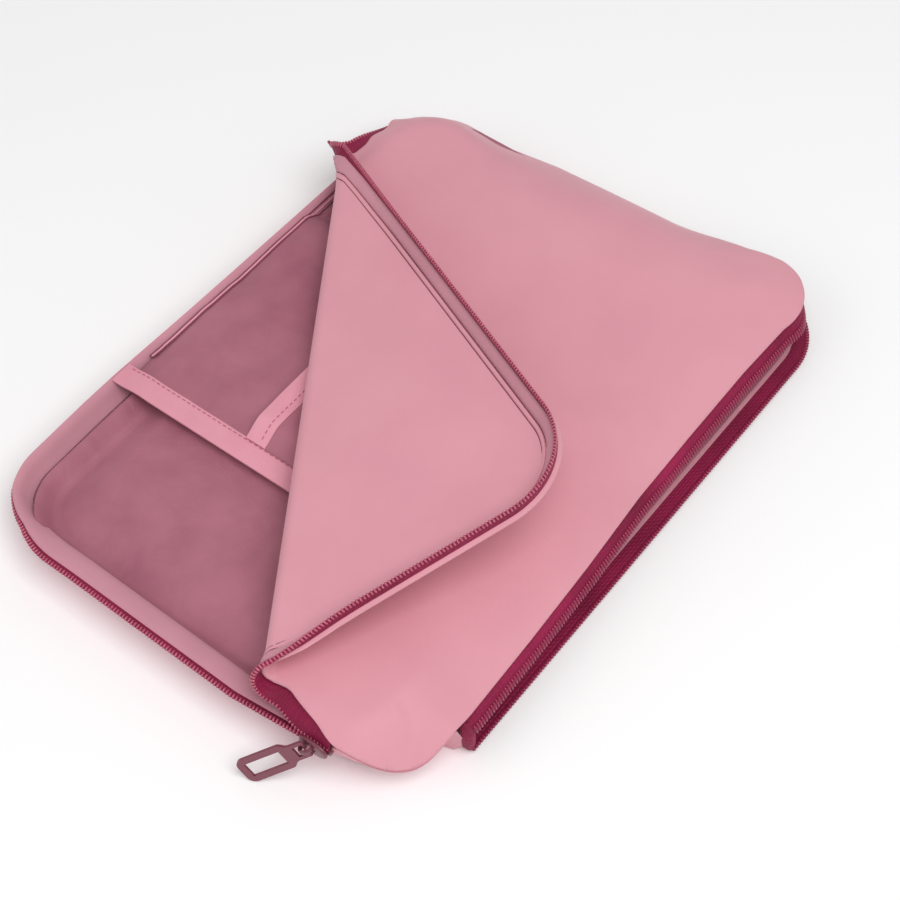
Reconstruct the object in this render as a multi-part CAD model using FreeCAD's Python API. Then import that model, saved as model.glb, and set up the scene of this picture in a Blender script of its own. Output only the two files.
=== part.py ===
import FreeCAD, Part
import os
import math
from FreeCAD import Vector

# Padded laptop sleeve, lying on its back panel with its front corner folded open.
# Frame: origin at the centre of the underside, +Z up through the front panel,
# +X along the long side, +Y towards the long edge with the laptop mouth.
# Named edges: mouth edge (+Y), base edge (-Y), slider end (+X), far end (-X).

os.makedirs("parts", exist_ok=True)

# ---------------------------------------------------------------- dimensions (mm)
X_FAR, X_SLI = -188.0, 187.0        # outline at the zipper line
Y_BASE, Y_MOUTH = -132.0, 130.0
R_SM, R_FM, R_FB, R_SB = 46.0, 36.0, 42.0, 46.0   # corners: slider/mouth, far/mouth, far/base, slider/base
T_BACK = 3.0                        # back panel
T_FRONT = 3.2                       # padded front panel
T_LINING = 0.6
Z_TOP = 40.4                        # highest point of the closed front panel
Z_DIV = 19.2                        # underside of the divider
T_DIV = 2.0
Z_RIM = 20.5                        # top of the padded side wall
COIL_LO = (22.6, 24.1)              # lower coil row
COIL_UP = (25.1, 26.6)              # upper coil row
TAPE_LO = (19.0, 22.6)
TAPE_UP = (26.6, 30.6)
TABLET_Z, PHONE_Z = 27.7, 36.1      # undersides of the slip pocket panels
TABLET_X = (-75.0, 84.0)
TABLET_Y = (-112.0, 78.0)
PHONE_X = (-14.0, 76.0)
PHONE_Y = (-53.0, 44.0)
MOUTH_X = (-152.0, 140.0)           # straight part of the laptop mouth
# fold of the front panel
FOLD_ANGLE = 32.4                   # direction of the fold line in plan
FOLD_OFFSET = -56.0                # distance of the fold line from the origin
Z_AXIS = 43.2                       # height of the fold's turning axis
FOLD_OPEN = 165.0                   # turn from closed to the rest pose
HALF_FOLD = 7.0                     # half of the strip that rolls over

ca, sa = math.cos(math.radians(FOLD_ANGLE)), math.sin(math.radians(FOLD_ANGLE))
AX = Vector(ca, sa, 0)              # along the fold
AN = Vector(-sa, ca, 0)             # across it, towards the mouth edge
P_AX = AN * FOLD_OFFSET + Vector(0, 0, Z_AXIS)


# ---------------------------------------------------------------- helpers
def wire(inset, z, rect=None, radii=None):
    """Rounded outline moved inwards by inset (number or 4 numbers: far, slider, base, mouth)."""
    if rect is None:
        rect = (X_FAR, X_SLI, Y_BASE, Y_MOUTH)
        radii = (R_SM, R_FM, R_FB, R_SB)
    if isinstance(inset, (int, float)):
        inset = (inset,) * 4
    f, s, b, m = inset
    x0, x1, y0, y1 = rect[0] + f, rect[1] - s, rect[2] + b, rect[3] - m
    rr = [max(radii[0] - max(s, m), 3.0), max(radii[1] - max(f, m), 3.0),
          max(radii[2] - max(f, b), 3.0), max(radii[3] - max(s, b), 3.0)]
    k = math.sqrt(0.5)
    c = [Vector(x1 - rr[0], y1 - rr[0], z), Vector(x0 + rr[1], y1 - rr[1], z),
         Vector(x0 + rr[2], y0 + rr[2], z), Vector(x1 - rr[3], y0 + rr[3], z)]
    d = [(Vector(1, 0, 0), Vector(k, k, 0), Vector(0, 1, 0)),
         (Vector(0, 1, 0), Vector(-k, k, 0), Vector(-1, 0, 0)),
         (Vector(-1, 0, 0), Vector(-k, -k, 0), Vector(0, -1, 0)),
         (Vector(0, -1, 0), Vector(k, -k, 0), Vector(1, 0, 0))]
    edges = []
    for i in range(4):
        p = [c[i] + v * rr[i] for v in d[i]]
        edges.append(Part.Arc(p[0], p[1], p[2]).toShape())
        j = (i + 1) % 4
        q = c[j] + d[j][0] * rr[j]
        edges.append(Part.LineSegment(p[2], q).toShape())
    return Part.Wire(edges)


def prism(w, h):
    return Part.Face(w).extrude(Vector(0, 0, h))


def ring(z0, z1, out, inn):
    return prism(wire(out, z0), z1 - z0).cut(prism(wire(inn, z0 - 1), z1 - z0 + 2))


def frustum(i0, z0, i1, z1):
    return Part.makeLoft([wire(i0, z0), wire(i1, z1)], True, True)


def box(x0, x1, y0, y1, z0, z1):
    return Part.makeBox(x1 - x0, y1 - y0, z1 - z0, Vector(x0, y0, z0))


def poly(points, z0, z1):
    pts = [Vector(x, y, z0) for x, y in points]
    return Part.Face(Part.makePolygon(pts + [pts[0]])).extrude(Vector(0, 0, z1 - z0))


def half(s0, s1, z0=-50, z1=150):
    """Everything between two lines parallel to the fold, s0 < s < s1 across it."""
    a = [AN * (FOLD_OFFSET + s) + AX * t for s, t in ((s0, -600), (s0, 600), (s1, 600), (s1, -600))]
    return poly([(p.x, p.y) for p in a], z0, z1)


def save(shape, name):
    if shape.ShapeType != "Solid" and len(shape.Solids) == 1:
        shape = shape.Solids[0]
    elif shape.ShapeType != "Solid":
        shape = Part.makeCompound(shape.Solids)
    bad = [s for s in shape.Solids if not s.isValid() or s.Volume <= 0]
    b = shape.BoundBox
    print("%-30s n=%d vol=%9.1f %s  x %.1f..%.1f y %.1f..%.1f z %.2f..%.2f" % (
        name, len(shape.Solids), shape.Volume, "BAD" if bad or not shape.Solids else "ok",
        b.XMin, b.XMax, b.YMin, b.YMax, b.ZMin, b.ZMax))
    shape.exportStep("parts/%s.step" % name)


def ss(t):
    t = min(max(t, 0.0), 1.0)
    return t * t * (3 - 2 * t)


def inset_of(x, y):
    """Distance inwards from the front panel's outline."""
    x0, x1, y0, y1 = X_FAR, X_SLI, Y_BASE, Y_MOUTH
    r = R_SM if (x > 0 and y > 0) else R_FM if y > 0 else R_SB if x > 0 else R_FB
    dx, dy = min(x - x0, x1 - x), min(y - y0, y1 - y)
    if dx < r and dy < r:
        return r - math.hypot(r - dx, r - dy)
    return min(dx, dy)


def under(x, y):
    """Underside of the closed front panel: a pillow that is high along both zippers."""
    mouth = ss((y - 30) / 60.0) * (1 - ss((x - 141) / 24.0))
    base = ss((-y - 62) / 34.0)
    end = ss((x - 90) / 50.0) * (1 - ss((y - 95) / 28.0))
    g = max(mouth, base, end)
    e = 13.6 + 13.4 * mouth if mouth >= max(base, end) else 13.6 + 15.9 * max(base, end)
    zip_side = max(base, end) * (1 - 0.0)
    w = 62.0 - 36.0 * zip_side
    if mouth > zip_side:
        w = 62.0
    p = 3.2 - 0.9 * (mouth if mouth > zip_side else 0)
    d = min(max(inset_of(x, y), 0.0), w)
    return e + (Z_TOP - T_FRONT - e) * (1 - (1 - d / w) ** p)


def patch(off, nx=75, ny=53):
    """Smooth pole surface following the pillow, lifted by off."""
    x0, x1, y0, y1 = -196.0, 195.0, -140.0, 138.0
    poles = [[Vector(x0 + (x1 - x0) * i / (nx - 1.0), y0 + (y1 - y0) * j / (ny - 1.0), 0)
              for j in range(ny)] for i in range(nx)]
    for row in poles:
        for v in row:
            v.z = under(v.x, v.y) + off
    ku, kv = nx - 2, ny - 2
    s = Part.BSplineSurface()
    s.buildFromPolesMultsKnots(poles, [4] + [1] * (ku - 2) + [4], [4] + [1] * (kv - 2) + [4],
                               [float(k) for k in range(ku)], [float(k) for k in range(kv)],
                               False, False, 3, 3)
    return s


def pillow_slab(thick):
    """Solid between the pillow surface and the same surface lifted by thick."""
    lo, hi = patch(0.0), patch(thick)
    fl, fh = lo.toShape(), hi.toShape()
    faces = [fl, fh]
    el = [lo.uIso(lo.bounds()[0]), lo.uIso(lo.bounds()[1]), lo.vIso(lo.bounds()[2]), lo.vIso(lo.bounds()[3])]
    eh = [hi.uIso(hi.bounds()[0]), hi.uIso(hi.bounds()[1]), hi.vIso(hi.bounds()[2]), hi.vIso(hi.bounds()[3])]
    for a, b in zip(el, eh):
        faces.append(Part.makeRuledSurface(a.toShape(), b.toShape()))
    shell = Part.makeShell(faces)
    shell.sewShape()
    sol = Part.makeSolid(shell)
    if sol.Volume < 0:
        sol.reverse()
    return sol


# ---------------------------------------------------------------- back panel and side walls
BACK_IN = (8.0, 15.0, 15.0, 2.0)
save(prism(wire(BACK_IN, 0), T_BACK), "back_panel")

WALL_LO = (6.8, 13.0, 13.0, 13.0)
hi_wall = frustum(WALL_LO, 3.0, 2.66, Z_RIM).cut(frustum((10.2, 16.5, 16.5, 16.5), 3.0, 6.2, Z_RIM))
LOW_TOP = 12.6
lo_wall = frustum(WALL_LO, 3.0, 2.8, LOW_TOP).cut(frustum((10.2, 16.5, 16.5, 16.5), 3.0, 6.6, LOW_TOP))
cells = {
    "wall_slider_end": (hi_wall, box(100, 200, -86, 84, -1, 60)),
    "wall_corner_base_slider": (hi_wall, box(141, 200, -140, -86, -1, 60)),
    "wall_base": (hi_wall, box(-146, 141, -140, -80, -1, 60)),
    "wall_corner_base_far": (hi_wall, box(-200, -146, -140, -90, -1, 60)),
    "wall_far_end": (lo_wall, box(-200, -100, -90, 94, -1, 60)),
    "wall_corner_mouth_slider": (lo_wall, box(140, 200, 84, 140, -1, 60)),
}
for n, (w, c) in cells.items():
    save(w.common(c), n)

# lining of the laptop side, laid on the back panel
save(prism(wire((14.0, 19.0, 19.0, 6.0), T_BACK), T_LINING).cut(box(134, 200, 76, 140, 0, 10)), "laptop_lining")

# ---------------------------------------------------------------- divider between laptop and front pocket
DIV_IN = (12.0, 30.0, 30.0, 6.0)
save(prism(wire(DIV_IN, Z_DIV), T_DIV), "divider_board")
skirt = frustum((30.0, 13.7, 13.7, 13.7), 8.8, (30.0, 30.5, 30.5, 30.5), 20.6).cut(
    frustum((30.0, 13.7, 13.7, 13.7), 7.8, (30.0, 30.5, 30.5, 30.5), 19.6)).cut(
    prism(wire((30.0, 29.9, 29.9, 29.9), 0), 60))
save(skirt.common(box(140, 200, -86, 84, 0, 60)), "divider_skirt_slider_end")
save(skirt.common(box(141, 200, -140, -86, 0, 60)), "divider_skirt_corner")
save(skirt.common(box(-128, 141, -140, -86, 0, 60)), "divider_skirt_base")
# strip that closes the front pocket along the mouth edge
save(box(-146, 134, 120.6, 121.8, Z_DIV + T_DIV, 28.4), "mouth_closing_strip")

# facing that lines the inside of the open rim
fac = frustum(11.4, 12.0, 6.4, Z_RIM).cut(frustum(12.4, 12.0, 7.4, Z_RIM)).fuse(
    ring(Z_RIM, Z_RIM + 0.6, 2.7, 7.4))
fac_cells = box(100, 200, -140, 84, -1, 60).fuse(box(-128, 141, -140, -80, -1, 60))
save(fac.common(fac_cells).removeSplitter(), "rim_facing")

# ---------------------------------------------------------------- slip pockets
t = T_LINING
save(box(TABLET_X[0], TABLET_X[1], TABLET_Y[0], TABLET_Y[1], TABLET_Z, TABLET_Z + t), "tablet_pocket_panel")
save(box(TABLET_X[0], TABLET_X[1], TABLET_Y[1], TABLET_Y[1] + t, Z_DIV + T_DIV, TABLET_Z + t), "tablet_pocket_pleat_mouth")
save(box(TABLET_X[0] - t, TABLET_X[0], TABLET_Y[0], TABLET_Y[1] + t, Z_DIV + T_DIV, TABLET_Z + t), "tablet_pocket_pleat_end")
# sloping pleat down to the rim on the base side
pl = Part.Face(Part.makePolygon([Vector(0, TABLET_Y[0], TABLET_Z + t), Vector(0, TABLET_Y[0], TABLET_Z),
                                 Vector(0, -123.6, 22.3), Vector(0, -124.5, 22.9),
                                 Vector(0, TABLET_Y[0], TABLET_Z + t)])).extrude(Vector(TABLET_X[1] - TABLET_X[0], 0, 0))
pl.translate(Vector(TABLET_X[0], 0, 0))
save(pl, "tablet_pocket_pleat_base")
bt = box(TABLET_X[1] - 13, TABLET_X[1] + 0.6, TABLET_Y[0], TABLET_Y[1], TABLET_Z - 0.5, TABLET_Z + t + 0.5).cut(
    box(TABLET_X[1] - 20, TABLET_X[1], TABLET_Y[0] - 5, TABLET_Y[1] + 5, TABLET_Z, TABLET_Z + t))
save(bt, "tablet_pocket_binding")

save(box(PHONE_X[0], PHONE_X[1], PHONE_Y[0], PHONE_Y[1], PHONE_Z, PHONE_Z + t), "phone_pocket_panel")
zb = TABLET_Z + t + 0.5
save(box(PHONE_X[1], PHONE_X[1] + t, PHONE_Y[0], PHONE_Y[1] + t, zb, PHONE_Z + t).cut(
    box(60, 90, PHONE_Y[1] + 5, 100, 0, 60)), "phone_pocket_pleat_near")
save(box(PHONE_X[0] - t, PHONE_X[0], PHONE_Y[0], PHONE_Y[1] + t, TABLET_Z + t, PHONE_Z + t), "phone_pocket_pleat_far")
save(box(PHONE_X[0], PHONE_X[1] - 6, PHONE_Y[1], PHONE_Y[1] + t, TABLET_Z + t, PHONE_Z + t), "phone_pocket_pleat_end")
bp = box(PHONE_X[0], PHONE_X[1], PHONE_Y[0] - 0.6, PHONE_Y[0] + 12, PHONE_Z - 0.35, PHONE_Z + t + 0.35).cut(
    box(PHONE_X[0] - 5, PHONE_X[1] + 5, PHONE_Y[0], PHONE_Y[0] + 20, PHONE_Z, PHONE_Z + t))
save(bp, "phone_pocket_binding")

# ---------------------------------------------------------------- front panel
slab = pillow_slab(T_FRONT)
trim = prism(wire((3.0, 0.4, 0.4, 0.4), -5), 80)
cap = slab.common(trim)
front = cap.common(half(HALF_FOLD, 500))
save(front, "front_panel")
flap_closed = cap.common(half(-500, -HALF_FOLD))


def open_flap(s):
    s = s.copy()
    s.rotate(P_AX, AX, -FOLD_OPEN)
    return s


save(open_flap(flap_closed), "front_flap")

# strip of the panel that rolls over the fold: an arc of padded cloth
c_roll = (HALF_FOLD, 44.12)
r_in, r_out = 3.72, 6.92


def at_fold(s, z, tt):
    p = AN * (FOLD_OFFSET + s) + AX * tt
    return Vector(p.x, p.y, z)


def arc_pts(r, a0, a1, n, t):
    return [at_fold(c_roll[0] + r * math.cos(a0 + (a1 - a0) * i / n), c_roll[1] + r * math.sin(a0 + (a1 - a0) * i / n), t)
            for i in range(n + 1)]


a0, a1 = math.radians(-90 - 1.5), math.radians(-90 - 163.0)
t0, t1 = -143.0, 184.0
e_out = Part.Arc(*[arc_pts(r_out, a0, a1, 2, t0)[i] for i in (0, 1, 2)]).toShape()
e_in = Part.Arc(*[arc_pts(r_in, a1, a0, 2, t0)[i] for i in (0, 1, 2)]).toShape()
w = Part.Wire([e_out, Part.LineSegment(arc_pts(r_out, a0, a1, 2, t0)[2], arc_pts(r_in, a1, a0, 2, t0)[0]).toShape(),
               e_in, Part.LineSegment(arc_pts(r_in, a1, a0, 2, t0)[2], arc_pts(r_out, a0, a1, 2, t0)[0]).toShape()])
roll = Part.Face(w).extrude(AX * (t1 - t0))
save(roll.common(prism(wire(6.0, 0), 100)), "fold_roll")

# facing band that stands inside the flap's edge
band = ring(28.2, 33.0, 4.6, 5.8)
flap_zone = half(-500, -(HALF_FOLD + 3))
save(open_flap(band.common(flap_zone)), "flap_facing")

# ---------------------------------------------------------------- front pocket zipper
tape_lo = ring(TAPE_LO[0], TAPE_LO[1], 1.8, 2.6)
coil_lo = ring(COIL_LO[0], COIL_LO[1], 1.0, 3.4)
tape_up = ring(TAPE_UP[0], TAPE_UP[1], 1.8, 2.6)
coil_up = ring(COIL_UP[0], COIL_UP[1], 1.0, 3.4)
Y_ZIP_END = 91.0
run = box(60, 200, -140, Y_ZIP_END, -1, 90).fuse(box(-146, 141, -140, -80, -1, 90))
save(tape_lo.common(run).removeSplitter(), "front_zip_tape_lower")
save(coil_lo.common(run).removeSplitter(), "front_zip_coil_lower")
save(open_flap(tape_up.common(flap_zone)), "front_zip_tape_flap")
save(open_flap(coil_up.common(flap_zone)), "front_zip_coil_flap")
fixed_zone = half(HALF_FOLD, 500)
save(tape_up.common(run).common(fixed_zone), "front_zip_tape_fixed")
save(coil_up.common(run).common(fixed_zone), "front_zip_coil_fixed")
# end stops, one clamped round both rows at each end
st1 = box(183.0, 186.6, Y_ZIP_END + 0.3, Y_ZIP_END + 2.8, 22.6, 26.6)
st2 = box(-148.8, -146.3, -131.4, -128.2, 22.6, 26.6)
save(Part.makeCompound([st1, st2]), "front_zip_stops")

# ---------------------------------------------------------------- laptop zipper
# upper side hangs from the front panel's mouth edge, round the far corner
m_run = box(-200, MOUTH_X[1], 94, 140, -1, 60)
lt_up = ring(20.8, 26.6, 1.8, 2.6).common(m_run)
lc_up = ring(19.2, 20.8, 1.0, 3.4).common(m_run)
save(lt_up, "laptop_zip_tape_upper")
save(lc_up, "laptop_zip_coil_upper")
# lower side lies flat along the back panel's edge
lt_lo = ring(2.0, 2.8, -3.6, 1.9).common(box(-200, MOUTH_X[1], 94, 140, -1, 60)).cut(prism(wire(BACK_IN, -1), 10))
lc_lo = ring(1.5, 3.1, -6.0, -3.6).common(box(-200, MOUTH_X[1], 94, 140, -1, 60))
save(lt_lo, "laptop_zip_tape_lower")
save(lc_lo, "laptop_zip_coil_lower")
# closed stretch along the far end: two rows with their tapes, where the slider is parked
ZC = 5.6
far_run = box(-200, -150, 30, 93.6, -1, 60)
cl_lo = ring(3.3, 5.1, -0.1, 2.3).common(far_run)
cl_up = ring(6.1, 7.9, -0.1, 2.3).common(far_run)
tp = ring(0.5, 3.3, 0.7, 1.5).common(far_run)
tq = ring(7.9, 11.9, 0.7, 1.5).common(far_run)
save(Part.makeCompound([cl_lo, cl_up]), "laptop_zip_coil_closed")
save(Part.makeCompound([tp, tq]), "laptop_zip_tape_closed")
save(Part.makeCompound([box(-188.3, -185.5, 27.0, 29.6, 3.3, 7.9), box(140.2, 142.6, 126.6, 129.2, 14.0, 20.8)]),
     "laptop_zip_stops")


# ---------------------------------------------------------------- sliders and pulls
def slider_body(cx, cy, cz, sx):
    """Zip slider whose plates stand across X; sx = +1 with the outer plate on the +X side."""
    ln, hh = 13.0, 6.4
    def plate(x0, x1):
        a = [Vector(0, -ln / 2, -hh / 2 + 1.2), Vector(0, -ln / 2, hh / 2 - 1.2), Vector(0, ln / 2 - 3, hh / 2), Vector(0, ln / 2, hh / 2 - 2),
             Vector(0, ln / 2, -hh / 2 + 2), Vector(0, ln / 2 - 3, -hh / 2)]
        f = Part.Face(Part.makePolygon(a + [a[0]])).extrude(Vector(x1 - x0, 0, 0))
        f.translate(Vector(x0, 0, 0))
        return f
    outer = plate(1.6, 2.9)
    inner = plate(-2.9, -1.6)
    neck = box(-1.7, 1.7, 2.0, 5.6, -0.3, 0.3)
    b = outer.fuse([inner, neck]).removeSplitter()
    if sx < 0:
        b = b.mirror(Vector(0, 0, 0), Vector(1, 0, 0))
    b.translate(Vector(cx, cy, cz))
    return b


def frame_shape(shape, o, w_, d_, n_):
    """Place a shape modelled with X along w_, Y along d_, Z along n_."""
    m = FreeCAD.Matrix(w_.x, d_.x, n_.x, o.x, w_.y, d_.y, n_.y, o.y, w_.z, d_.z, n_.z, o.z, 0, 0, 0, 1)
    s = shape.copy()
    s.transformShape(m)
    return s


def bridge(height=2.3):
    """Arch over the pull's bar: local X along the bar, Z away from the slider."""
    a = box(-1.5, 1.5, -3.6, -2.4, -1.6, height)
    b = box(-1.5, 1.5, 2.4, 3.6, -1.6, height)
    c = box(-1.5, 1.5, -3.6, 3.6, height, height + 1.0)
    return a.fuse([b, c]).removeSplitter()


def pull(kw=1.0, ky=1.0):
    """One-piece flat pull: round bar at the origin, two short legs, neck and a paddle with a long slot."""
    th = 1.5
    bar = Part.makeCylinder(0.85, 9.8 * kw, Vector(-4.9 * kw, 0, 0), Vector(1, 0, 0))
    half = [(4.9, 0.0), (4.9, 7.2), (5.4, 8.4), (7.1, 10.4), (7.6, 11.6)]
    half += [(3.5 + 4.1 * math.cos(math.radians(a)), 32.3 + 4.1 * math.sin(math.radians(a))) for a in (0, 18, 36, 54, 72, 90)]
    pts = [(x * kw, y * ky) for x, y in half] + [(-x * kw, y * ky) for x, y in half[::-1]]
    pl_ = Part.Face(Part.makePolygon([Vector(x, y, -th / 2) for x, y in pts + [pts[0]]])).extrude(Vector(0, 0, th))
    pl_ = pl_.cut(box(-3.1 * kw, 3.1 * kw, -1, max(5.6 * ky, 5.0), -2, 2))
    pl_ = pl_.cut(box(-4.2 * kw, 4.2 * kw, 12.6 * ky, 32.8 * ky, -2, 2))
    return pl_.fuse(bar).removeSplitter()


SL_Y = 81.5
ZT = 24.6
sl = slider_body(184.8, SL_Y, ZT, 1)
save(sl, "front_slider_body")
# pull hangs slantwise on the outside of the edge and touches the table with its end
WD = Vector(-0.12, 0.60, -0.79).normalize()
DD = Vector(0.53, -0.69, -0.49)
DD = (DD - WD * DD.dot(WD)).normalize()
ND = WD.cross(DD)
if ND.x < 0:
    WD = WD * -1
    ND = WD.cross(DD)
PO = Vector(189.7, SL_Y - 1.0, ZT + 0.6)
print("pull frame", WD, DD, ND, PO)
br = frame_shape(bridge(), PO, WD, DD, ND).cut(box(100, 187.7, 0, 200, 0, 100))
save(br, "front_slider_bridge")
save(frame_shape(pull(), PO, WD, DD, ND), "front_zip_pull")

SL2_Y = 86.0
sl2 = slider_body(-187.0, SL2_Y, ZC, -1)
save(sl2, "laptop_slider_body")
D2 = Vector(0, -1, 0)
W2 = Vector(0, 0, -1)
N2 = W2.cross(D2)
if N2.x > 0:
    W2 = W2 * -1
    N2 = W2.cross(D2)
PO2 = Vector(-191.8, SL2_Y + 1.0, ZC)
print("pull2 frame", W2, D2, N2, PO2)
br2 = frame_shape(bridge(), PO2, W2, D2, N2).cut(box(-189.9, -100, 0, 200, 0, 100))
save(br2, "laptop_slider_bridge")
save(frame_shape(pull(0.66, 0.72), PO2, W2, D2, N2), "laptop_zip_pull")
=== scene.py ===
import bpy
import bmesh
import math
import numpy as np
from mathutils import Matrix, Vector
from mathutils.geometry import delaunay_2d_cdt


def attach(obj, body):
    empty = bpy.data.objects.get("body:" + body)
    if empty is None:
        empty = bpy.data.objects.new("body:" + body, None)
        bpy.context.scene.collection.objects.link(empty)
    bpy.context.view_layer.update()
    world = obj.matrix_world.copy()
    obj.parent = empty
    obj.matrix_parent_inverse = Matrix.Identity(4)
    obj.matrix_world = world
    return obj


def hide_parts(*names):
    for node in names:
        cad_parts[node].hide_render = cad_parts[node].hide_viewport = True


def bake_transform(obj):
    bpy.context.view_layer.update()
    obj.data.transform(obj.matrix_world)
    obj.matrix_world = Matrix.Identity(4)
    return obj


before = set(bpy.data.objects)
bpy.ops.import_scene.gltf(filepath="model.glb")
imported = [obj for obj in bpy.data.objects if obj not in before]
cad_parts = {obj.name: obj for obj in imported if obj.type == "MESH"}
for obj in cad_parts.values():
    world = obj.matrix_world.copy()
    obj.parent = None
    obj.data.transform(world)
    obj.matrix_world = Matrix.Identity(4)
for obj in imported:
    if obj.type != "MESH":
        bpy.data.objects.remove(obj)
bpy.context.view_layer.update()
MM = 0.001

# ------------------------------------------------------------------ camera
cam_data = bpy.data.cameras.new("camera")
cam = bpy.data.objects.new("camera", cam_data)
bpy.context.scene.collection.objects.link(cam)
cam_right = Vector((-0.60182, 0.79864, 0.0)).normalized()
cam_back = Vector((0.47532, 0.35818, 0.80360)).normalized()
cam_up = cam_back.cross(cam_right).normalized()
m = Matrix((cam_right, cam_up, cam_back)).transposed().to_4x4()
m.translation = Vector((0.54149, 0.42804, 0.91547))
cam.matrix_world = m
cam_data.lens = 88.34
cam_data.sensor_width = 36.0
cam_data.clip_start = 0.01
cam_data.clip_end = 50
bpy.context.scene.camera = cam

# ------------------------------------------------------------------ numbers (mm), as in the frame
X0, X1, Y0, Y1 = -188.0, 187.0, -132.0, 130.0
R_SM, R_FM, R_FB, R_SB = 46.0, 36.0, 42.0, 46.0
Z_TOP, T_FRONT = 40.4, 3.2
FOLD_ANGLE, FOLD_OFFSET, Z_AXIS, FOLD_OPEN, HALF_FOLD = 32.4, -56.0, 43.2, 165.0, 7.0
R_ROLL, Z_ROLL = 3.72, 44.12
ca, sa = math.cos(math.radians(FOLD_ANGLE)), math.sin(math.radians(FOLD_ANGLE))
AX2 = np.array([ca, sa])
AN2 = np.array([-sa, ca])


def ss(t):
    t = np.clip(t, 0.0, 1.0)
    return t * t * (3 - 2 * t)


# ------------------------------------------------------------------ smooth repeatable noise
def _hash(ix, iy, seed):
    n = (ix * 374761393 + iy * 668265263 + seed * 1442695041) & 0x7FFFFFFF
    n = ((n ^ (n >> 13)) * 1274126177) & 0x7FFFFFFF
    return ((n ^ (n >> 16)) & 0xFFFF) / 65535.0 * 2 - 1


def noise(x, y, scale, seed=1):
    x, y = np.asarray(x, float) / scale, np.asarray(y, float) / scale
    ix, iy = np.floor(x).astype(np.int64), np.floor(y).astype(np.int64)
    fx, fy = x - ix, y - iy
    fx, fy = fx * fx * fx * (fx * (fx * 6 - 15) + 10), fy * fy * fy * (fy * (fy * 6 - 15) + 10)
    a, b = _hash(ix, iy, seed), _hash(ix + 1, iy, seed)
    c, d = _hash(ix, iy + 1, seed), _hash(ix + 1, iy + 1, seed)
    return (a * (1 - fx) + b * fx) * (1 - fy) + (c * (1 - fx) + d * fx) * fy


# ------------------------------------------------------------------ outline
def inset_of(x, y):
    r = np.where(x > 0, np.where(y > 0, R_SM, R_SB), np.where(y > 0, R_FM, R_FB))
    dx, dy = np.minimum(x - X0, X1 - x), np.minimum(y - Y0, Y1 - y)
    corner = (dx < r) & (dy < r)
    return np.where(corner, r - np.hypot(r - dx, r - dy), np.minimum(dx, dy))


def perimeter(step=2.0):
    """Points on the outline with outward normals, anticlockwise from the middle of the slider end."""
    pts = []

    def line(a, b, n):
        k = max(int(np.hypot(b[0] - a[0], b[1] - a[1]) / step), 1)
        for i in range(k):
            t = i / k
            pts.append((a[0] + (b[0] - a[0]) * t, a[1] + (b[1] - a[1]) * t, n[0], n[1]))

    def arc(c, r, a0):
        k = max(int(r * math.pi / 2 / step), 4)
        for i in range(k):
            a = a0 + math.pi / 2 * i / k
            pts.append((c[0] + r * math.cos(a), c[1] + r * math.sin(a), math.cos(a), math.sin(a)))

    line((X1, 0), (X1, Y1 - R_SM), (1, 0))
    arc((X1 - R_SM, Y1 - R_SM), R_SM, 0)
    line((X1 - R_SM, Y1), (X0 + R_FM, Y1), (0, 1))
    arc((X0 + R_FM, Y1 - R_FM), R_FM, math.pi / 2)
    line((X0, Y1 - R_FM), (X0, Y0 + R_FB), (-1, 0))
    arc((X0 + R_FB, Y0 + R_FB), R_FB, math.pi)
    line((X0 + R_FB, Y0), (X1 - R_SB, Y0), (0, -1))
    arc((X1 - R_SB, Y0 + R_SB), R_SB, math.pi * 1.5)
    line((X1, Y0 + R_SB), (X1, 0), (1, 0))
    return np.array(pts)


def fold_s(x, y):
    return x * AN2[0] + y * AN2[1] - FOLD_OFFSET


def factors(x, y):
    mouth = ss((y - 30) / 60.0) * (1 - ss((x - 141) / 24.0))
    base = ss((-y - 62) / 34.0)
    end = ss((x - 90) / 50.0) * (1 - ss((y - 95) / 28.0))
    return mouth, base, end


def top_of(x, y):
    """Outer face of the closed front panel."""
    x, y = np.asarray(x, float), np.asarray(y, float)
    mouth, base, end = factors(x, y)
    base = base * ss((x + 185) / 55.0)
    zs = np.maximum(base, end)
    t = ss((-x - 90) / 60.0) * ss((20 - y) / 60.0)
    e = 13.6 + np.maximum(13.4 * mouth, 15.9 * zs)
    w = 62.0 - 44.0 * zs
    p = 3.2 - 1.0 * t
    p = p + (2.2 - p) * zs - 0.9 * np.where(mouth > zs, mouth, 0)
    d = np.clip(inset_of(x, y), 0, None)
    d = np.minimum(d, w)
    return e + T_FRONT + (Z_TOP - T_FRONT - e) * (1 - (1 - d / w) ** p)


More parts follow.
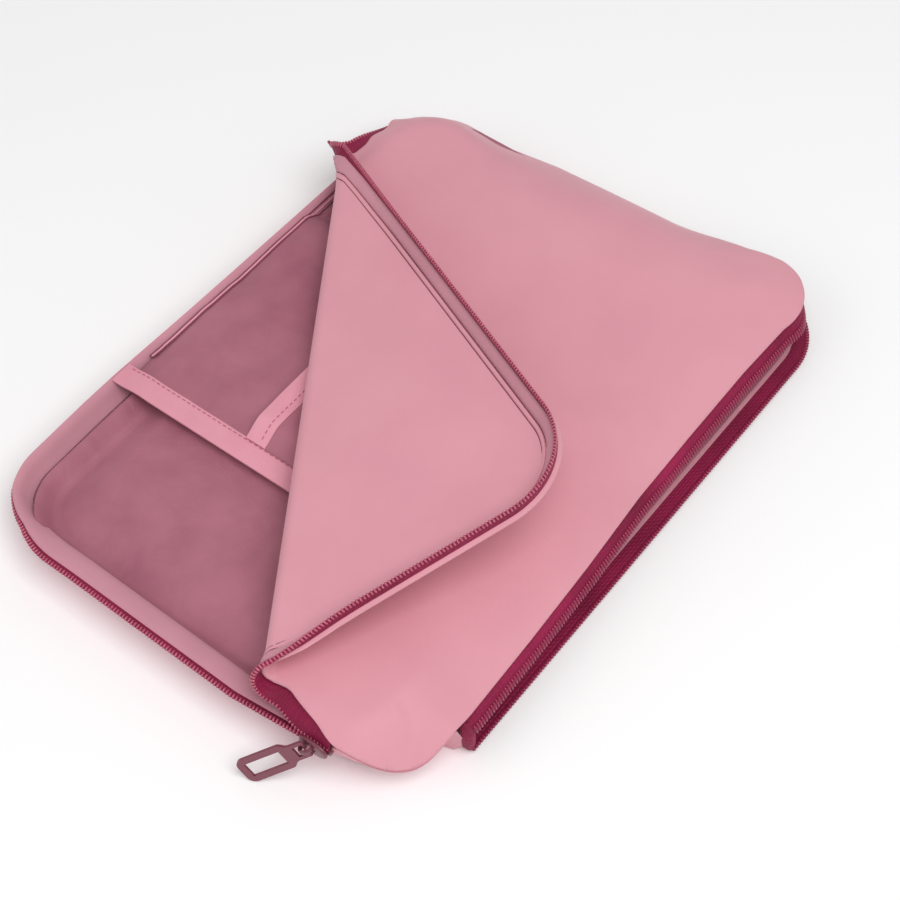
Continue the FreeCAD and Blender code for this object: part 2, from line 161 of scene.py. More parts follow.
def _pin_profile():
    """How far the panel's edge is drawn in from the outline, station by station round the perimeter."""
    q = perimeter(1.0)
    x, y, nx, ny = q.T
    end = np.interp(y, [0, 25, 40, 52, 60, 69.5, 81.6, 88, 94, 102, 130], [0.3, 1.0, 5.0, 9.5, 11.0, 8.0, 5.0, 2.6, 0.6, 0.2, 0.0])
    far = np.interp(y, [-132, -112, -98, -76, -57, -42, -10, 28, 42, 58, 80, 100, 112, 130], [3.2, 4.6, 7.8, 9.2, 6.4, 4.2, 2.4, 0.7, 0.4, 0.8, 1.7, -1.8, -2.4, -1.0])
    base = np.interp(x, [-188, -150, -118, -104, -90, -62, -20, 187], [2.0, 1.8, 3.6, 3.0, 2.0, 0.6, 0.0, 0.0])
    base = base + 1.1 * np.sin((x + 120) / 3.4) * ss((-x - 116) / 10.0) * ss((x + 162) / 10.0)
    mouth = np.interp(x, [-188, -172, -150, -113, -62, -16, 33, 84, 134, 150, 187], [-1.5, 0.8, 4.6, 5.8, 5.4, 4.6, 1.4, -0.8, -2.2, -1.2, 0.0])
    wx, wy = nx * nx, ny * ny
    v = wx * np.where(nx > 0, end, far) + wy * np.where(ny > 0, mouth, base)
    k = np.hanning(9)
    k /= k.sum()
    v = np.convolve(np.concatenate([v[-8:], v, v[:8]]), k, "same")[8:-8]
    hold = ss((y + 10) / 30.0) * (x > 140) * ss(nx * 3)
    return q, v, hold


PINQ, PINV, PINH = _pin_profile()


def near_pin(x, y):
    x, y = np.ravel(x), np.ravel(y)
    idx = np.empty(len(x), int)
    for i in range(0, len(x), 2000):
        d2 = (x[i:i + 2000, None] - PINQ[None, :, 0]) ** 2 + (y[i:i + 2000, None] - PINQ[None, :, 1]) ** 2
        idx[i:i + 2000] = d2.argmin(1)
    return PINV[idx], PINH[idx], PINQ[idx, 2:]


def panel_points(x, y):
    """Closed panel surface for points given on the plain outline plan."""
    v, h, n = near_pin(x, y)
    d = np.clip(inset_of(x, y), 0, None)
    k = v * (1 - ss(d / 40.0))
    dx, dy = -n[:, 0] * k, -n[:, 1] * k
    z = top_of(x + dx * h, y + dy * h)
    return np.stack([x + dx, y + dy, z], 1)


def to_rest(p):
    """Closed position -> rest position for cloth on the front panel (fold, roll and flap)."""
    p = np.array(p, float)
    sh = p.shape
    p = p.reshape(-1, 3)
    x, y, z = p.T
    s = fold_s(x, y)
    t = x * AX2[0] + y * AX2[1]
    depth = Z_TOP - z
    # near the fold the rim can't stand up: it lies over, and spreads outwards a little
    lb = ss((x - 60) / 60.0)
    reach = np.where(s > 0, 26.0 - 11 * lb, 44.0)
    g = 0.34 + 0.66 * ss((np.abs(s) - 4) / reach)
    deep = np.clip(depth - T_FRONT, 0, None)
    new = np.where(depth > T_FRONT, T_FRONT + deep * g, depth)
    over = (1 - g) * np.clip(depth - 8.0, 0, None)
    t = t + over * (0.9 * (1 - lb) * -1.0 - 0.45 * lb)
    depth = new
    h = Z_TOP - depth - Z_AXIS
    # roll
    al = np.radians(FOLD_OPEN) * np.clip((HALF_FOLD - s) / (2 * HALF_FOLD), 0, 1)
    r = R_ROLL + depth
    rs = HALF_FOLD + r * np.cos(-math.pi / 2 - al)
    rz = Z_ROLL + r * np.sin(-math.pi / 2 - al)
    # flap
    a = -math.radians(FOLD_OPEN)
    fs = s * math.cos(a) - h * math.sin(a)
    fz = s * math.sin(a) + h * math.cos(a) + Z_AXIS
    S = np.where(s >= HALF_FOLD, s, np.where(s <= -HALF_FOLD, fs, rs))
    Zn = np.where(s >= HALF_FOLD, Z_TOP - depth, np.where(s <= -HALF_FOLD, fz, rz))
    out = np.stack([AN2[0] * (S + FOLD_OFFSET) + AX2[0] * t, AN2[1] * (S + FOLD_OFFSET) + AX2[1] * t, Zn], 1)
    lean = over * (1 - lb) * np.where(s > 0, 1.25, 0.5)
    out[:, 1] -= lean
    out[:, 0] -= lean * 0.25
    return out.reshape(sh)


# ------------------------------------------------------------------ mesh makers
def add(name, verts, faces, mat, body=None, smooth=70):
    me = bpy.data.meshes.new(name)
    v = np.asarray(verts, float).reshape(-1, 3) * MM
    me.from_pydata([tuple(q) for q in v], [], [tuple(int(i) for i in f) for f in faces])
    me.validate()
    bm = bmesh.new()
    bm.from_mesh(me)
    bmesh.ops.recalc_face_normals(bm, faces=bm.faces)
    bm.to_mesh(me)
    bm.free()
    me.shade_smooth()
    if smooth:
        me.set_sharp_from_angle(angle=math.radians(smooth))
    me.materials.append(mat)
    ob = bpy.data.objects.new(name, me)
    bpy.context.scene.collection.objects.link(ob)
    if body:
        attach(ob, body)
    return ob


def loft(name, rings, mat, body=None, closed_path=False, smooth=60):
    """rings: N x K x 3, each a closed section loop; capped unless the path closes."""
    rings = np.asarray(rings, float)
    n, k, _ = rings.shape
    faces = []
    for i in range(n if closed_path else n - 1):
        a, b = i * k, ((i + 1) % n) * k
        for j in range(k):
            j2 = (j + 1) % k
            faces.append((a + j, a + j2, b + j2, b + j))
    if not closed_path:
        faces.append(tuple(range(k)))
        faces.append(tuple(range((n - 1) * k, n * k))[::-1])
    return add(name, rings, faces, mat, body, smooth)


def triangulate(boundary, inner):
    nb = len(boundary)
    pts = [Vector((float(p[0]), float(p[1]))) for p in list(boundary) + list(inner)]
    r = delaunay_2d_cdt(pts, [], [list(range(nb))], 1, 1e-5)
    return np.array([[v.x, v.y] for v in r[0]]), [tuple(f) for f in r[2]]


def boundary_edges(faces):
    seen = {}
    for f in faces:
        for i in range(len(f)):
            a, b = f[i], f[(i + 1) % len(f)]
            seen.setdefault((min(a, b), max(a, b)), []).append((a, b))
    return [v[0] for v in seen.values() if len(v) == 1]


def vnormals(v, faces):
    n = np.zeros_like(v)
    f = np.array(faces)
    a, b, c = v[f[:, 0]], v[f[:, 1]], v[f[:, 2]]
    fn = np.cross(b - a, c - a)
    for i in range(3):
        np.add.at(n, f[:, i], fn)
    return n / np.maximum(np.linalg.norm(n, axis=1, keepdims=True), 1e-12)


def sheet_solid(outer, inner, faces, bulge=0.5):
    """Closed solid between two matching layers, with a rounded edge."""
    nv = len(outer)
    edges = boundary_edges(faces)
    idx = sorted({i for e in edges for i in e})
    pos = {i: k for k, i in enumerate(idx)}
    o, n_ = outer[idx], inner[idx]
    mid = (o + n_) / 2
    # outward direction along the edge
    out = np.zeros_like(mid)
    for a, b in edges:
        tdir = outer[b] - outer[a]
        nn = np.cross(tdir, outer[a] - inner[a])
        nn /= max(np.linalg.norm(nn), 1e-9)
        out[pos[a]] += nn
        out[pos[b]] += nn
    out /= np.maximum(np.linalg.norm(out, axis=1, keepdims=True), 1e-9)
    verts = np.concatenate([outer, inner, mid * 0.5 + o * 0.5 + out * bulge * 0.75, mid + out * bulge, mid * 0.5 + n_ * 0.5 + out * bulge * 0.75])
    m_ = len(idx)
    fs = [tuple(f) for f in faces] + [tuple(i + nv for i in f[::-1]) for f in faces]
    for a, b in edges:
        pa, pb = pos[a], pos[b]
        lay = [(a, b)] + [(2 * nv + k * m_ + pa, 2 * nv + k * m_ + pb) for k in range(3)] + [(a + nv, b + nv)]
        for (p, q), (r_, s_) in zip(lay[:-1], lay[1:]):
            fs.append((q, p, r_, s_))
    return verts, fs


def grid_points(x0, x1, y0, y1, step, keep):
    xs = np.arange(x0, x1 + 1e-6, step)
    pts = []
    for i, x in enumerate(xs):
        off = 0.5 * step if i % 2 else 0.0
        for y in np.arange(y0 + off, y1 + 1e-6, step * 1.0):
            pts.append((x, y))
    pts = np.array(pts)
    return pts[keep(pts[:, 0], pts[:, 1])]


# ------------------------------------------------------------------ materials
def new_mat(name):
    mt = bpy.data.materials.new(name)
    mt.use_nodes = True
    nt = mt.node_tree
    b = nt.nodes["Principled BSDF"]
    return mt, nt, b


def node(nt, kind, **kw):
    n = nt.nodes.new(kind)
    for k, v in kw.items():
        if k in n.inputs:
            n.inputs[k].default_value = v
        else:
            setattr(n, k, v)
    return n


def fabric(name, dark, light, rough, sheen, scale, bump, weave="knit", vary=0.5, sheen_tint=(1, 0.9, 0.93, 1), big=None):
    """Cloth: colour varied by a large and a small noise, and a fine weave in colour and bump. scale in threads per metre."""
    mt, nt, b = new_mat(name)
    co = node(nt, "ShaderNodeTexCoord")
    big_n = node(nt, "ShaderNodeTexNoise", Scale=22.0, Detail=3.0, Roughness=0.55)
    nt.links.new(co.outputs["Object"], big_n.inputs["Vector"])
    fine = node(nt, "ShaderNodeTexNoise", Scale=scale * 1.1, Detail=2.0, Roughness=0.6)
    nt.links.new(co.outputs["Object"], fine.inputs["Vector"])
    w1 = node(nt, "ShaderNodeTexWave", Scale=scale * 0.16, Distortion=1.4 if weave == "knit" else 0.25, Detail=2.0)
    w1.inputs["Detail Scale"].default_value = 2.5
    w1.wave_type = "BANDS"
    w1.bands_direction = "DIAGONAL" if weave == "twill" else "X"
    nt.links.new(co.outputs["Object"], w1.inputs["Vector"])
    w2 = node(nt, "ShaderNodeTexWave", Scale=scale * 0.16, Distortion=1.4 if weave == "knit" else 0.25, Detail=2.0)
    w2.wave_type = "BANDS"
    w2.bands_direction = "Y"
    nt.links.new(co.outputs["Object"], w2.inputs["Vector"])
    mx = node(nt, "ShaderNodeMath", operation="MULTIPLY")
    nt.links.new(w1.outputs["Fac"], mx.inputs[0])
    nt.links.new(w2.outputs["Fac"], mx.inputs[1])
    ad = node(nt, "ShaderNodeMath", operation="ADD")
    nt.links.new(mx.outputs[0], ad.inputs[0])
    nt.links.new(fine.outputs["Fac"], ad.inputs[1])
    ramp = node(nt, "ShaderNodeValToRGB")
    ramp.color_ramp.elements[0].position = 0.30
    ramp.color_ramp.elements[0].color = tuple(dark) + (1,)
    ramp.color_ramp.elements[1].position = 0.72
    ramp.color_ramp.elements[1].color = tuple(light) + (1,)
    sc_ = node(nt, "ShaderNodeMath", operation="MULTIPLY_ADD")
    sc_.inputs[1].default_value = 0.16
    nt.links.new(ad.outputs[0], sc_.inputs[0])
    nt.links.new(big_n.outputs["Fac"], sc_.inputs[2])
    sub = node(nt, "ShaderNodeMath", operation="SUBTRACT")
    sub.inputs[1].default_value = 0.10
    nt.links.new(sc_.outputs[0], sub.inputs[0])
    nt.links.new(sub.outputs[0], ramp.inputs["Fac"])
    nt.links.new(ramp.outputs["Color"], b.inputs["Base Color"])
    rr = node(nt, "ShaderNodeMapRange")
    rr.inputs["To Min"].default_value = rough - 0.08
    rr.inputs["To Max"].default_value = rough + 0.08
    nt.links.new(fine.outputs["Fac"], rr.inputs["Value"])
    nt.links.new(rr.outputs["Result"], b.inputs["Roughness"])
    b.inputs["Sheen Weight"].default_value = sheen
    b.inputs["Sheen Roughness"].default_value = 0.45
    b.inputs["Sheen Tint"].default_value = sheen_tint
    b.inputs["Specular IOR Level"].default_value = 0.25
    bp = node(nt, "ShaderNodeBump", Strength=bump, Distance=0.00035)
    nt.links.new(ad.outputs[0], bp.inputs["Height"])
    last = bp
    if big:
        wr = node(nt, "ShaderNodeTexNoise", Scale=big[0], Detail=4.0, Roughness=0.5, Distortion=1.2)
        nt.links.new(co.outputs["Object"], wr.inputs["Vector"])
        b2 = node(nt, "ShaderNodeBump", Strength=big[1], Distance=0.004)
        nt.links.new(wr.outputs["Fac"], b2.inputs["Height"])
        nt.links.new(bp.outputs["Normal"], b2.inputs["Normal"])
        last = b2
    nt.links.new(last.outputs["Normal"], b.inputs["Normal"])
    return mt


def hard(name, dark, light, rough, coat=0.0, metallic=0.0, scale=900.0):
    mt, nt, b = new_mat(name)
    co = node(nt, "ShaderNodeTexCoord")
    n = node(nt, "ShaderNodeTexNoise", Scale=scale, Detail=4.0, Roughness=0.6)
    nt.links.new(co.outputs["Object"], n.inputs["Vector"])
    ramp = node(nt, "ShaderNodeValToRGB")
    ramp.color_ramp.elements[0].position = 0.35
    ramp.color_ramp.elements[0].color = tuple(dark) + (1,)
    ramp.color_ramp.elements[1].position = 0.7
    ramp.color_ramp.elements[1].color = tuple(light) + (1,)
    nt.links.new(n.outputs["Fac"], ramp.inputs["Fac"])
    nt.links.new(ramp.outputs["Color"], b.inputs["Base Color"])
    rr = node(nt, "ShaderNodeMapRange")
    rr.inputs["To Min"].default_value = rough - 0.06
    rr.inputs["To Max"].default_value = rough + 0.08
    nt.links.new(n.outputs["Fac"], rr.inputs["Value"])
    nt.links.new(rr.outputs["Result"], b.inputs["Roughness"])
    b.inputs["Coat Weight"].default_value = coat
    b.inputs["Coat Roughness"].default_value = 0.25
    b.inputs["Metallic"].default_value = metallic
    bp = node(nt, "ShaderNodeBump", Strength=0.12, Distance=0.0001)
    nt.links.new(n.outputs["Fac"], bp.inputs["Height"])
    nt.links.new(bp.outputs["Normal"], b.inputs["Normal"])
    return mt


M_NEO = fabric("neoprene_jersey", (0.675, 0.298, 0.357), (0.715, 0.325, 0.384), 0.78, 0.25, 2600.0, 0.12)
M_FACE = fabric("facing_jersey", (0.54, 0.240, 0.298), (0.60, 0.278, 0.336), 0.8, 0.2, 2600.0, 0.16)
# Satin lining: a deep mauve of its own, darkened further by about 0.85 as painted shade for the shadows the laptop and
# tablet cast into the pockets.
M_LIN = fabric("satin_lining", (0.31, 0.096, 0.140), (0.43, 0.156, 0.208), 0.46, 0.12, 3200.0, 0.10, weave="twill", big=(38.0, 0.35))
M_BIND = fabric("binding_grosgrain", (0.66, 0.262, 0.336), (0.78, 0.346, 0.424), 0.62, 0.15, 2100.0, 0.3, weave="rib")
M_TAPE = fabric("zip_tape_weave", (0.165, 0.004, 0.032), (0.31, 0.010, 0.066), 0.62, 0.12, 1300.0, 0.75, weave="twill", sheen_tint=(1, 0.4, 0.55, 1))
# Front coil: lighter than the mouth coil below though it is the same zipper, as a painted highlight for the glints on
# its teeth. The mouth coil keeps the plain burgundy.
M_COIL_HIGHLIT = hard("zip_coil_nylon_painted_highlight", (0.34, 0.035, 0.085), (0.58, 0.13, 0.20), 0.26, coat=0.6)
M_MOUTH_COIL = hard("mouth_coil_nylon", (0.22, 0.008, 0.045), (0.36, 0.025, 0.09), 0.3, coat=0.4)
M_METAL = hard("slider_lacquer", (0.12, 0.018, 0.035), (0.20, 0.035, 0.06), 0.36, coat=0.4)
M_PULL = hard("pull_lacquer", (0.17, 0.035, 0.06), (0.235, 0.055, 0.085), 0.42, coat=0.15, scale=1500.0)
M_THREAD = fabric("thread", (0.60, 0.22, 0.29), (0.75, 0.30, 0.37), 0.7, 0.2, 4000.0, 0.3)
# Seam shade: near-black burgundy for thin cords laid along seams, as painted shade for the dark gaps there.
M_SEAM_SHADE = fabric("seam_painted_shade", (0.16, 0.035, 0.065), (0.26, 0.06, 0.10), 0.8, 0.1, 4000.0, 0.3)
M_THREAD_D = fabric("thread_dark", (0.40, 0.10, 0.16), (0.55, 0.16, 0.23), 0.7, 0.2, 4000.0, 0.3)

# ------------------------------------------------------------------ front panel: fixed part, roll and flap in one piece of cloth
PER = perimeter(2.0)


def dense_perimeter():
    p = perimeter(0.5)
    s = fold_s(p[:, 0], p[:, 1])
    keep, last = [], -99.0
    for i in range(len(p)):
        step = 0.5 if abs(s[i]) < 10 else 1.0 if abs(s[i]) < 16 else 2.0
        if i * 0.5 - last >= step - 1e-6:
            keep.append(i)
            last = i * 0.5
    return p[keep]


bd = dense_perimeter()
INS = 0.5
bpts = bd[:, :2] - bd[:, 2:] * INS
inner = []
for d in (1.2, 2.2, 3.4, 4.8, 6.4, 8.2, 10.5, 13.0, 16.0, 19.5):
    q = perimeter(2.4 if d < 12 else 3.2)
    q = q[:, :2] - q[:, 2:] * d
    ks = np.abs(fold_s(q[:, 0], q[:, 1])) > 9.0
    inner.append(q[ks])
gp = grid_points(X0, X1, Y0, Y1, 4.0, lambda x, y: (inset_of(x, y) > 21.5) & (np.abs(fold_s(x, y)) > 9.5))
inner.append(gp)
fs_, ft_ = np.meshgrid(np.arange(-8.4, 8.41, 0.7), np.arange(-170, 230, 3.6))
fx = AN2[0] * (fs_ + FOLD_OFFSET) + AX2[0] * ft_
fy = AN2[1] * (fs_ + FOLD_OFFSET) + AX2[1] * ft_
fp = np.stack([fx.ravel(), fy.ravel()], 1)
ins = inset_of(fp[:, 0], fp[:, 1])
inner.append(fp[ins > 1.6])
P2, TRI = triangulate(bpts, np.concatenate(inner))
x, y = P2.T
outer_c = panel_points(x, y)
nrm = vnormals(outer_c, TRI)
nrm[nrm[:, 2] < 0] *= -1
inner_c = outer_c - nrm * T_FRONT
outer_r, inner_r = to_rest(outer_c), to_rest(inner_c)
V, F = sheet_solid(outer_r, inner_r, TRI, 0.4)
front = add("front_panel_cloth", V, F, M_NEO, smooth=75)
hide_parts("front_panel", "front_flap", "fold_roll")
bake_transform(front)


# ------------------------------------------------------------------ paths along the front zipper, closed position
def path_front(step, y_start=84.0, x_end=-146.0):
    """From the slider, down the slider end, round the corner and along the base edge."""
    pts = []
    n = int((y_start - (Y0 + R_SB)) / step)
    for i in range(n):
        yy = y_start + (Y0 + R_SB - y_start) * i / n
        pts.append((X1, yy, 1.0, 0.0))
    n = int(R_SB * math.pi / 2 / step)
    for i in range(n):
        a = -math.pi / 2 * i / n
        pts.append((X1 - R_SB + R_SB * math.cos(a), Y0 + R_SB + R_SB * math.sin(a), math.cos(a), math.sin(a)))
    n = int((X1 - R_SB - x_end) / step)
    for i in range(n + 1):
        pts.append((X1 - R_SB + (x_end - X1 + R_SB) * i / n, Y0, 0.0, -1.0))
    return np.array(pts)


def section(path, prof):
    """prof: list of (inset, z) -> rings N x K x 3."""
    rings = []
    for px, py, nx, ny in path:
        rings.append([(px - nx * d, py - ny * d, z) for d, z in prof])
    return np.array(rings)


def refine_fold(path):
    """More points where the path crosses the fold."""
    out = [path[0]]
    for a, b in zip(path[:-1], path[1:]):
        s0, s1 = fold_s(a[0], a[1]), fold_s(b[0], b[1])
        k = 4 if min(abs(s0), abs(s1)) < 12 else 1
        for i in range(1, k + 1):
            out.append(a + (b - a) * i / k)
    return np.array(out)


UP = refine_fold(path_front(2.0, y_start=90.5))


def edge_pt(px, py, nx, ny, d):
    """Point on the closed panel's outer face at distance d in from its own edge."""
    q = panel_points(np.array([px - nx * d]), np.array([py - ny * d]))[0]
    return q


def tape_rings(path):
    rings = []
    for px, py, nx, ny in path:
        e = edge_pt(px, py, nx, ny, 2.2)
        ti = (px - e[0]) * nx + (py - e[1]) * ny
        tz = e[2] - T_FRONT - 0.05
        o0, z0 = 2.0, 26.7
        loop = []
        for k in (0, 0.25, 0.5, 0.75, 1.0):
            loop.append((o0 + (ti - o0) * k ** 1.35, z0 + (tz - z0) * k + 0.5 * math.sin(math.pi * k)))
        ln = max(math.hypot(ti - o0, tz - z0), 0.1)
        ox, oz = (tz - z0) / ln * 0.75, -(ti - o0) / ln * 0.75
        loop += [(d + ox, z + oz) for d, z in loop[::-1]]
        rings.append([(px - nx * d, py - ny * d, z) for d, z in loop])
    return np.array(rings)


tape_up = loft("front_zip_tape_upper", to_rest(tape_rings(UP)), M_TAPE)
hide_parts("front_zip_tape_flap", "front_zip_tape_fixed")
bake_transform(tape_up)


# ------------------------------------------------------------------ zipper teeth
def tooth():
    """A rounded bar, unit size: x along the zipper, y across, z height."""
    vs, fs = [], []
    nu, nv = 8, 6
    vs.append((0, 0, 0))
    ring = []
    for j in range(nv + 1):
        yy = -0.5 + j / nv
        k = (1 - abs(2 * yy) ** 3.2) ** 0.5 if abs(yy) < 0.5 else 0.0
        k = max(k, 0.18)
        for i in range(nu):
            a = 2 * math.pi * i / nu
            cx, cz = math.cos(a), math.sin(a)
            q = (abs(cx) ** 3 + abs(cz) ** 3) ** (-1 / 3)
            ring.append((0.5 * cx * q * k, yy, 0.5 * cz * q * k))
    vs = ring
    for j in range(nv):
        for i in range(nu):
            i2 = (i + 1) % nu
            fs.append((j * nu + i, j * nu + i2, (j + 1) * nu + i2, (j + 1) * nu + i))
    fs.append(tuple(range(nu))[::-1])
    fs.append(tuple(range(nv * nu, (nv + 1) * nu)))
    return np.array(vs), fs


T_V, T_F = tooth()


def along(pts, pitch, start=0.0):
    """Even stations along a polyline: positions and the parameter index."""
    seg = np.linalg.norm(np.diff(pts, axis=0), axis=1)
    cum = np.concatenate([[0], np.cumsum(seg)])
    n = int((cum[-1] - start) / pitch)
    at = start + np.arange(n) * pitch
    return at, cum


def interp(pts, cum, at):
    return np.stack([np.interp(at, cum, pts[:, k]) for k in range(pts.shape[1])], 1)


def teeth(name, center, across, pitch, size, mat, body=None, tilt=0.0):
    """Rows of teeth at even stations on the polyline; across: matching points towards the tape."""
    at, cum = along(center, pitch, pitch / 2)
    c = interp(center, cum, at)
    c2 = interp(center, cum, at + 0.2)
    a = interp(across, cum, at)
    t = c2 - c
    t /= np.maximum(np.linalg.norm(t, axis=1, keepdims=True), 1e-9)
    y_ = a - c
    y_ -= t * (y_ * t).sum(1)[:, None]
    y_ /= np.maximum(np.linalg.norm(y_, axis=1, keepdims=True), 1e-9)
    z_ = np.cross(t, y_)
    V_, F_ = [], []
    for i in range(len(c)):
        v = c[i] + (T_V[:, :1] * size[0]) * t[i] + (T_V[:, 1:2] * size[1]) * y_[i] + (T_V[:, 2:] * size[2]) * z_[i] + tilt * T_V[:, 1:2] * t[i]
        F_ += [tuple(k + len(V_) * len(T_V) for k in f) for f in T_F]
        V_.append(v)
    return add(name, np.concatenate(V_), F_, mat, body, smooth=80)


def rod(name, pts, ref, w, h, mat, body=None):
    """Flattened rod along a polyline, ref: matching points that give its width direction."""
    t = np.gradient(pts, axis=0)
    t /= np.linalg.norm(t, axis=1, keepdims=True)
    y_ = ref - pts
    y_ -= t * (y_ * t).sum(1)[:, None]
    y_ /= np.maximum(np.linalg.norm(y_, axis=1, keepdims=True), 1e-9)
    z_ = np.cross(t, y_)
    k = 8
    rings = []
    for j in range(k):
        a = 2 * math.pi * j / k
        rings.append(pts + y_ * (w / 2 * math.cos(a)) + z_ * (h / 2 * math.sin(a)))
    return loft(name, np.stack(rings, 1), mat, body)


PITCH = 1.9


def coil_pair(prefix, path, d_c, z_c, d_t, z_t, mapping, replaces, body=None, blend=False, size=(1.25, 2.9, 1.9)):
    c = section(path, [(d_c, z_c)])[:, 0]
    a = section(path, [(d_t, z_t)])[:, 0]
    if mapping:
        c, a = mapping(c), mapping(a)
    core = rod(prefix + "_core", c, a, 2.2, 0.9, M_TAPE, body)
    row = teeth(prefix + "_teeth", c, a, PITCH, size, M_COIL_HIGHLIT, body, tilt=0.35)
    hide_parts(*replaces)
    if blend:
        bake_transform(core)
        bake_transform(row)
    return core, row


coil_pair("front_zip_upper", UP, 2.3, 25.9, 2.4, 28.5, to_rest, ("front_zip_coil_flap", "front_zip_coil_fixed"), blend=True)

# ------------------------------------------------------------------ facing band inside the flap's edge
band_path = UP[(fold_s(UP[:, 0], UP[:, 1]) < 3.0)]


def under_band(path, prof_over, prof_under, fade=0.0):
    rings = []
    for px, py, nx, ny in path:
        loop = []
        soft = 1.0 - fade * float(ss(nx * 1.4))
        for d, off in prof_over + prof_under:
            e = edge_pt(px, py, nx, ny, d)
            loop.append((e[0], e[1], e[2] - T_FRONT - off * soft))
        rings.append(loop)
    return np.array(rings)


rings = under_band(band_path, [(7.6, 0.12), (6.0, 0.12), (4.4, 0.12), (3.0, 0.12)],
                   [(2.5, 0.9), (2.7, 2.0), (3.3, 2.9), (4.4, 3.3), (5.8, 3.1), (7.0, 2.4), (7.7, 1.4), (7.9, 0.6)])
band = loft("flap_facing_band", to_rest(rings), M_FACE)
rings = under_band(band_path, [(10.3, 0.1), (9.2, 0.1)], [(8.8, 0.5), (9.0, 1.0), (9.6, 1.25), (10.2, 1.0), (10.6, 0.5)])
cord = loft("flap_facing_seam", to_rest(rings), M_NEO)
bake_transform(cord)
# Two thin dark cords either side of the facing's seam: painted shade for the shadow in the seam's gap.
rings = under_band(band_path, [(8.6, 0.06), (8.15, 0.06)], [(8.05, 0.3), (8.2, 0.7), (8.5, 0.7), (8.65, 0.3)], 0.75)
thr = loft("flap_facing_seam_shadow", to_rest(rings), M_SEAM_SHADE)
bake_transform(thr)
rings = under_band(band_path, [(11.2, 0.05), (10.8, 0.05)], [(10.75, 0.22), (10.85, 0.42), (11.15, 0.42), (11.25, 0.22)], 0.75)
thr2 = loft("flap_facing_inner_seam_shadow", to_rest(rings), M_SEAM_SHADE)
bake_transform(thr2)
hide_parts("flap_facing")
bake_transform(band)

# ------------------------------------------------------------------ back panel and side gusset
PERW = perimeter(2.5)


def wall_height(x, y):
    """Height of the side gusset's upper edge."""
    h = 20.5 + 0 * x
    low = np.maximum(ss((y - 84) / 18.0) * (x > 0), ((x < 0) & (y > -100)) * ss((y + 100) / 26.0) * (x < -120))
    h = h - 6.6 * low
    mouth = np.where((x < 152) & (y > 60), (1 - ss((x - 134) / 9.0)) * np.where(x < -120, ss((y - 84) / 10.0), 1.0), 0)
    return h * (1 - mouth) + 2.4 * mouth, mouth


def bow_at(px, py, nx, ny):
    """How far the open rim stands out past the outline."""
    if px >= 141 - 1e-6 and py > Y0 + R_SB:
        return float(np.interp(py, [-86, -70, -22, 35, 74, 92], [-0.8, -0.6, 0.9, 2.6, -0.6, 0.0]))
    if px >= 141 - 1e-6 and py <= Y0 + R_SB:
        a = math.degrees(math.atan2(-(py - (Y0 + R_SB)), px - (X1 - R_SB)))
        return float(np.interp(a, [0, 20, 33, 50, 62, 80, 90], [-0.8, -1.6, -1.6, 1.4, 3.6, 4.2, 4.2]))
    if ny < -0.5:
        return float(np.interp(px, [-150, -114, -94, -55, -35, 4, 23, 43, 62, 82, 104, 141], [-0.4, -0.5, -0.1, 0.7, 1.2, 2.2, 2.7, 3.4, 4.1, 4.8, 4.9, 4.2]))
    return 0.0


def wall_rings():
    rings = []
    for px, py, nx, ny in PERW:
        H, mo = wall_height(np.float64(px), np.float64(py))
        far = ss(-nx)
        b_ = 13.5 - 7.0 * far - 9.5 * ss(ny) * (1 if px < 141 else 0)
        b_ = b_ * (1 - mo) + 1.6 * mo
        r_ = 2.2 + (1.2 if px < 0 else 0) * 0
        r_ = r_ * (1 - mo) + (-3.2) * mo
        if H < 19 and mo < 0.5:
            r_ = 2.6
        if px < -120 and nx < -0.02 or (px < -120 and ny > 0.02):
            pv = float(near_pin(px, py)[0][0])
            r_ += (max(pv, 0) * max(-nx, float(ss((-px - 140) / 20.0)) * float(ny < 0.5)) + 1.0 * float(ss((-py - 60) / 20.0))) * (1 - mo)
        if px < -100 and ny < 0.05:
            H = min(float(H), float(edge_pt(px, py, nx, ny, 1.5)[2]) - T_FRONT - 0.6)
        if px > 134 and py > 84:
            k_ = float(ss((py - 84) / 12.0)) * (1 - mo)
            e_ = edge_pt(px, py, nx, ny, 1.2)
            ti = (px - e_[0]) * nx + (py - e_[1]) * ny
            r_ = r_ + (ti - r_) * k_
            H = H + (e_[2] - T_FRONT - 0.9 - H) * k_
        r_ -= bow_at(px, py, nx, ny)
        zb = 0.0
        prof = []
        for v_ in np.linspace(0, 1, 9):
            dd = b_ + (r_ - b_) * v_
            zz = zb + (H - zb) * v_ + (1.2 * (1 - v_) ** 6)
            prof.append((dd, zz))
        prof.append((r_ + 0.7, H + 0.7 * (1 - mo)))
        prof.append((r_ + 2.2, H + 0.5 * (1 - mo)))
        for v_ in np.linspace(1, 0, 7):
            dd = b_ + 3.2 + (r_ - b_) * v_
            zz = 3.0 * (1 - v_) + (H - 0.4) * v_
            zz = max(zz, 2.2 if mo > 0.5 else 3.0 * (1 - v_))
            prof.append((dd, zz))
        rings.append([(px - nx * d, py - ny * d, z) for d, z in prof])
    return np.array(rings)


gus = loft("side_gusset_cloth", wall_rings(), M_NEO, "sleeve", closed_path=True)
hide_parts("wall_slider_end", "wall_corner_base_slider", "wall_base", "wall_corner_base_far", "wall_far_end", "wall_corner_mouth_slider")


